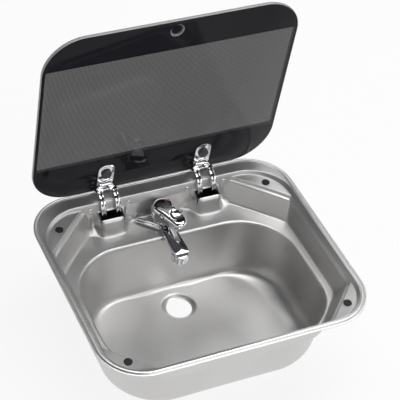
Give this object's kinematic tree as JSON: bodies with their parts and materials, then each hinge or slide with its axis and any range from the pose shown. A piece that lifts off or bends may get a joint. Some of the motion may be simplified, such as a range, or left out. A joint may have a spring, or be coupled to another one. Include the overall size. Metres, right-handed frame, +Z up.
{
  "type": "kitchen_sink",
  "caption": "Rectangular pressed steel caravan sink with a single round-cornered bowl, a hinged flush glass lid with finger hole, two goose-neck hinges and a low single-lever tap.",
  "frame": {"origin": "Middle of the rim outline at the plane of the worktop that the rim's lip rests on", "axes": "+X to the user's right along the front edge, +Y to the rear where the lid hinges, +Z up out of the worktop"},
  "size_m": [0.42, 0.3724, 0.475],
  "materials": {
    "steel_pressed": "polished satin",
    "chrome_plated": "mirror chrome",
    "zinc_metal": "plain zinc",
    "brass_metal": "plain",
    "black_plastic": "moulded",
    "black_rubber": "matt",
    "tinted_glass": "printed tempered glass",
    "red_mark": "gloss",
    "blue_mark": "gloss"
  },
  "bodies": {
    "basin": {"hinge_housing_left": "black_plastic", "hinge_housing_right": "black_plastic", "hinge_pin_left": "zinc_metal", "hinge_pin_right": "zinc_metal", "lid_pad_front_left": "black_rubber", "lid_pad_front_right": "black_rubber", "lid_pad_rear_left": "black_rubber", "lid_pad_rear_right": "black_rubber", "rivet_inner_left": "steel_pressed", "rivet_inner_right": "steel_pressed", "rivet_outer_left": "steel_pressed", "rivet_outer_right": "steel_pressed", "sink_pan": "steel_pressed", "tap_aerator": "black_plastic", "tap_body": "chrome_plated", "tap_cartridge": "zinc_metal", "tap_gasket": "black_rubber", "tap_inlet_cold": "brass_metal", "tap_inlet_hot": "brass_metal", "tap_nozzle": "chrome_plated", "tap_nut": "brass_metal", "tap_washer": "black_rubber"},
    "lid": {"glass_bush_left": "black_rubber", "glass_bush_right": "black_rubber", "hinge_arm_left": "chrome_plated", "hinge_arm_right": "chrome_plated", "hinge_cap_left": "black_plastic", "hinge_cap_right": "black_plastic", "hinge_knob_left": "black_plastic", "hinge_knob_right": "black_plastic", "hinge_screw_left": "chrome_plated", "hinge_screw_right": "chrome_plated", "hinge_tongue_left": "chrome_plated", "hinge_tongue_right": "chrome_plated", "lid_glass": "tinted_glass"},
    "handle_turn": {"tap_turn_disc": "zinc_metal"},
    "handle": {"tap_lever": "chrome_plated", "tap_stem": "zinc_metal", "lever_screw": "zinc_metal", "indicator_red": "red_mark", "indicator_blue": "blue_mark"}
  },
  "joints": [
    {"name": "lid_hinge", "type": "hinge", "parent": "basin", "child": "lid", "pos_m": [0, 0.1705, -0.0132], "axis": [-1, 0, 0], "range_deg": [-83.6, 0]},
    {"name": "lever_turn", "type": "hinge", "parent": "basin", "child": "handle_turn", "pos_m": [0, 0.13, -0.024], "axis": [0, 0, 1], "range_deg": [-65, 25]},
    {"name": "lever_lift", "type": "hinge", "parent": "handle_turn", "child": "handle", "pos_m": [0, 0.13, -0.024], "axis": [-0.9397, -0.342, 0], "range_deg": [0, 12]}
  ]
}
